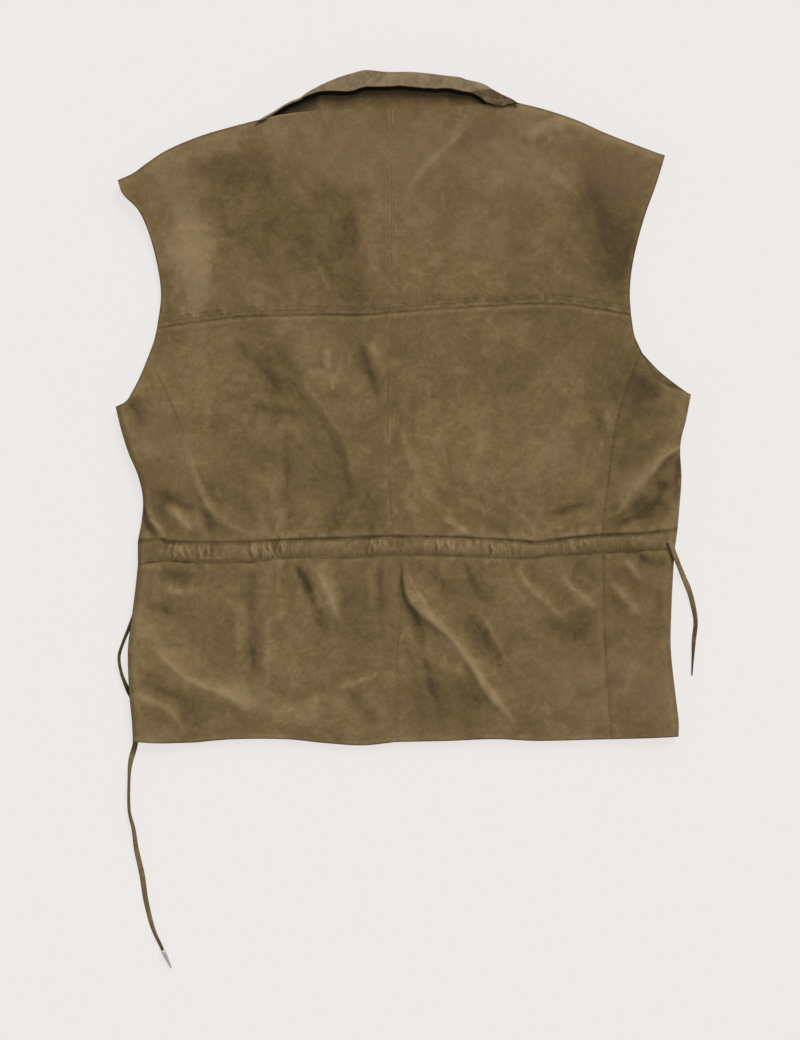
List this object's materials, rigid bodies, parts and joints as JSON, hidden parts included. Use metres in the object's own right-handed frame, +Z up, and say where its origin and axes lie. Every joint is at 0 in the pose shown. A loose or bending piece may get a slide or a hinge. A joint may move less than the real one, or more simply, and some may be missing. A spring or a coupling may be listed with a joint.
{
  "type": "suede gilet",
  "caption": "Sleeveless suede gilet laid flat on its front, with a turned collar, a back yoke and a drawstring waist with two free lace ends",
  "frame": {"origin": "on the surface the gilet lies on, below the middle of the garment without its drawstrings", "axes": "+Z up out of the back, +Y from hem to collar, +X to the right as the back is seen from above"},
  "size_m": [0.5233, 0.809, 0.016],
  "materials": {
    "suede": "olive-brown suede with a soft uneven nap",
    "lace": "flat suede lace",
    "tip_metal": "polished silver-coloured metal"
  },
  "bodies": {
    "root": {"yoke_left": "suede", "yoke_right": "suede", "back_left": "suede", "back_right": "suede", "side_left": "suede", "side_right": "suede", "skirt_back_left": "suede", "skirt_back_right": "suede", "skirt_side_left": "suede", "skirt_side_right": "suede", "front_left": "suede", "front_right": "suede", "collar_stand": "suede", "collar_fall": "suede", "collar_front_left": "suede", "collar_front_right": "suede", "drawstring_channel": "suede", "drawstring_left": "lace", "drawstring_right": "lace", "drawstring_tip": "tip_metal"}
  },
  "joints": []
}
